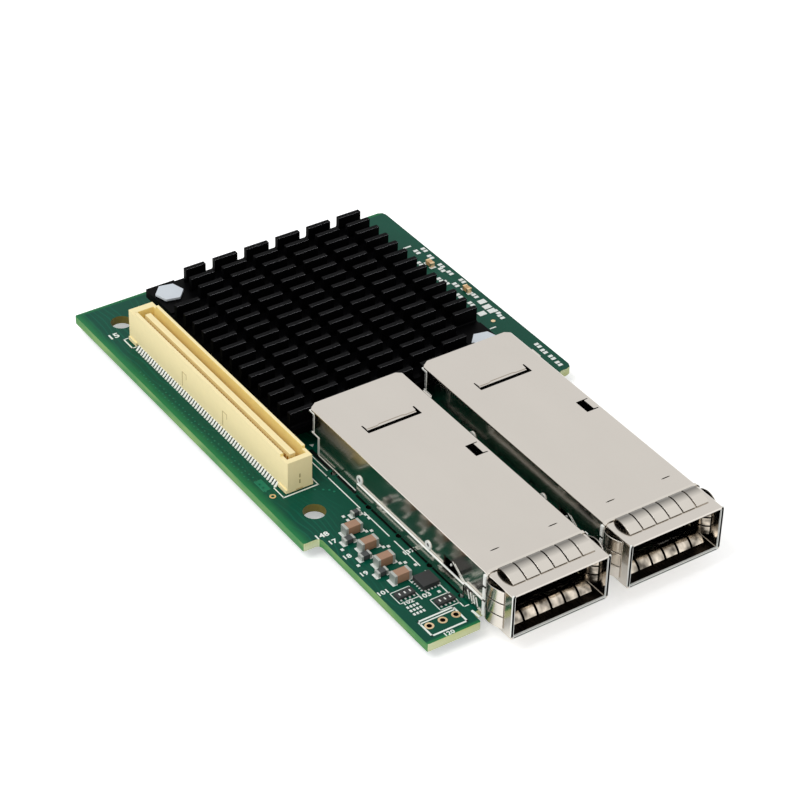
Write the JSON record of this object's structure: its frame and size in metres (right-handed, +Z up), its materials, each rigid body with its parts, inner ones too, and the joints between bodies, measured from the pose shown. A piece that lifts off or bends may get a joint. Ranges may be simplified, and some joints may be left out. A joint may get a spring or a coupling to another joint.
{
  "type": "mezzanine network card",
  "caption": "Mezzanine network card with a stacking connector, a black finned heatsink and open-fronted metal port cages with spring fingers.",
  "frame": {"origin": "centre of the footprint, on the surface that the card rests on", "axes": "+X across the card to the right seen from the ports, +Y from the port mouths to the rear edge, +Z up out of the component side"},
  "size_m": [0.068, 0.1162, 0.0131],
  "materials": {
    "board_green": "green solder mask on glass epoxy",
    "connector_cream": "cream moulded housing",
    "black_anodised": "black anodised aluminium",
    "package_green": "package substrate",
    "nickel_lid": "nickel plated lid",
    "thermal_pad_grey": "soft thermal pad",
    "pale_screw": "pale zinc plating",
    "nut_steel": "plain steel",
    "cage_nickel_silver": "satin sheet metal",
    "spring_nickel": "bright spring sheet",
    "black_moulding": "black moulding",
    "capacitor_brown": "brown fired body",
    "ferrite_grey": "dark ferrite body"
  },
  "bodies": {
    "root": {"cage_floor_left": "cage_nickel_silver", "cage_floor_right": "cage_nickel_silver", "cage_shell_left": "cage_nickel_silver", "cage_shell_right": "cage_nickel_silver", "capacitor_1": "capacitor_brown", "capacitor_2": "capacitor_brown", "capacitor_3": "capacitor_brown", "capacitor_4": "capacitor_brown", "chip_lid": "nickel_lid", "chip_package": "package_green", "circuit_board": "board_green", "edge_capacitor_1": "capacitor_brown", "edge_capacitor_2": "capacitor_brown", "filter_bead": "ferrite_grey", "heatsink": "black_anodised", "heatsink_nut_front": "nut_steel", "heatsink_nut_rear": "nut_steel", "heatsink_screw_front": "pale_screw", "heatsink_screw_rear": "pale_screw", "inductor_1": "ferrite_grey", "inductor_2": "ferrite_grey", "inductor_3": "ferrite_grey", "inner_fingers_left": "spring_nickel", "inner_fingers_right": "spring_nickel", "mezzanine_connector": "connector_cream", "outer_fingers_left": "spring_nickel", "outer_fingers_right": "spring_nickel", "port_receptacle_left": "black_moulding", "port_receptacle_right": "black_moulding", "regulator_chip": "black_moulding", "resistor_network_1": "black_moulding", "resistor_network_2": "black_moulding", "thermal_pad": "thermal_pad_grey"}
  },
  "joints": []
}
